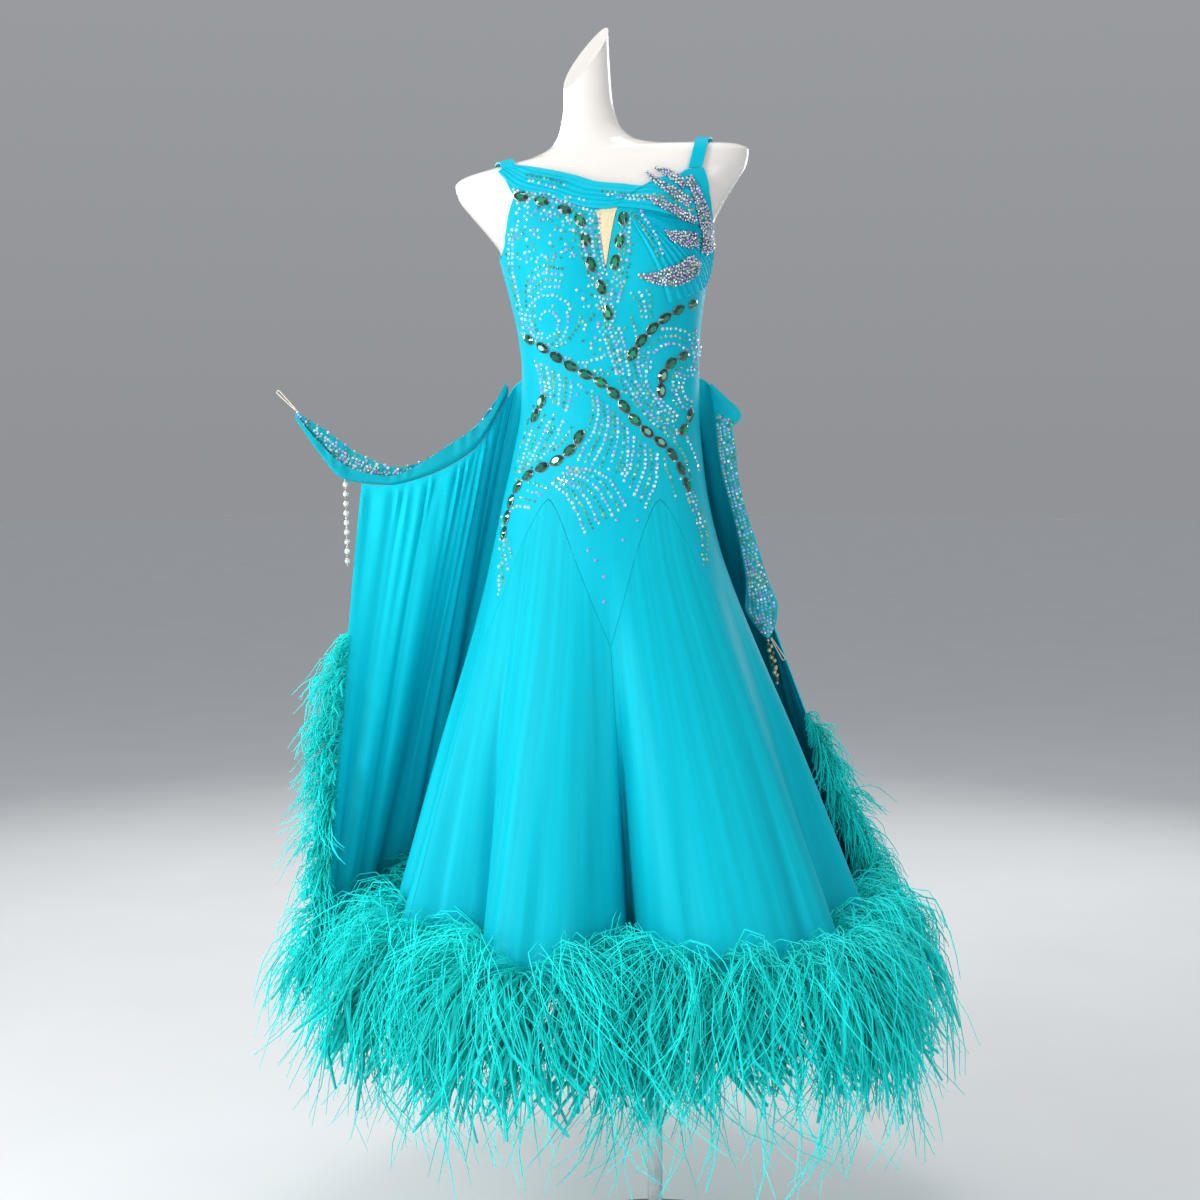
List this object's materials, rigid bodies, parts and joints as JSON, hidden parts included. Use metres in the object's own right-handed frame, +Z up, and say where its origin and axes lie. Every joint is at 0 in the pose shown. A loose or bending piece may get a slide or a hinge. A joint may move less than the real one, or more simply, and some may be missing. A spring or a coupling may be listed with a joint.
{
  "type": "ballroom gown on dress form",
  "caption": "Full-length ballroom dance gown in turquoise with stoned bodice, flared godet skirt, arm floats and feather hems, shown on a limbless dress form on a stand.",
  "frame": {"origin": "centre of the stand base's underside, on the floor under the pole", "axes": "+Z up, -Y towards the front of the gown, +X towards the viewer's right when facing its front"},
  "size_m": [1.0954, 1.0519, 2.003],
  "materials": {
    "lycra": "stretch jersey with a soft sheen",
    "nude_mesh": "matt nude stretch mesh",
    "chiffon": "smooth satin chiffon",
    "feather": "dyed ostrich feather",
    "crystal": "cut crystal stones with an iridescent coating",
    "emerald": "cut dark green glass stones, foil-backed",
    "pearl": "pearl lustre",
    "elastic": "thin elastic cord",
    "form_skin": "smooth satin off-white",
    "chrome": "polished"
  },
  "bodies": {
    "root": {"bodice_front": "lycra", "bodice_back_right": "lycra", "bodice_back_left": "lycra", "strap_left": "lycra", "strap_right": "lycra", "scarf_drape": "lycra", "pleated_bust_panel": "lycra", "wrist_band_left": "lycra", "wrist_band_right": "lycra", "keyhole_mesh": "nude_mesh", "godet_front_right": "chiffon", "godet_side_right": "chiffon", "godet_back_right": "chiffon", "godet_back_left": "chiffon", "godet_side_left": "chiffon", "godet_front_left": "chiffon", "float_left": "chiffon", "float_right": "chiffon", "feathers_skirt": "feather", "feathers_float_left": "feather", "feathers_float_right": "feather", "feathers_edge_left": "feather", "feathers_edge_right": "feather", "leaf_stem": "crystal", "leaf_top": "crystal", "leaf_high": "crystal", "leaf_middle": "crystal", "leaf_low": "crystal", "leaf_crescent": "crystal", "stones_waist": "emerald", "stones_bust": "emerald", "stones_ring_high": "emerald", "stones_ring_low": "emerald", "stones_hip": "emerald", "stones_hip_high": "emerald", "stones_neckline": "emerald", "stones_keyhole": "emerald", "bead_strand_left": "pearl", "bead_strand_right": "pearl", "finger_loop_left": "elastic", "finger_loop_right": "elastic", "dress_form": "form_skin", "stand_base": "chrome", "stand_pole": "chrome"}
  },
  "joints": []
}
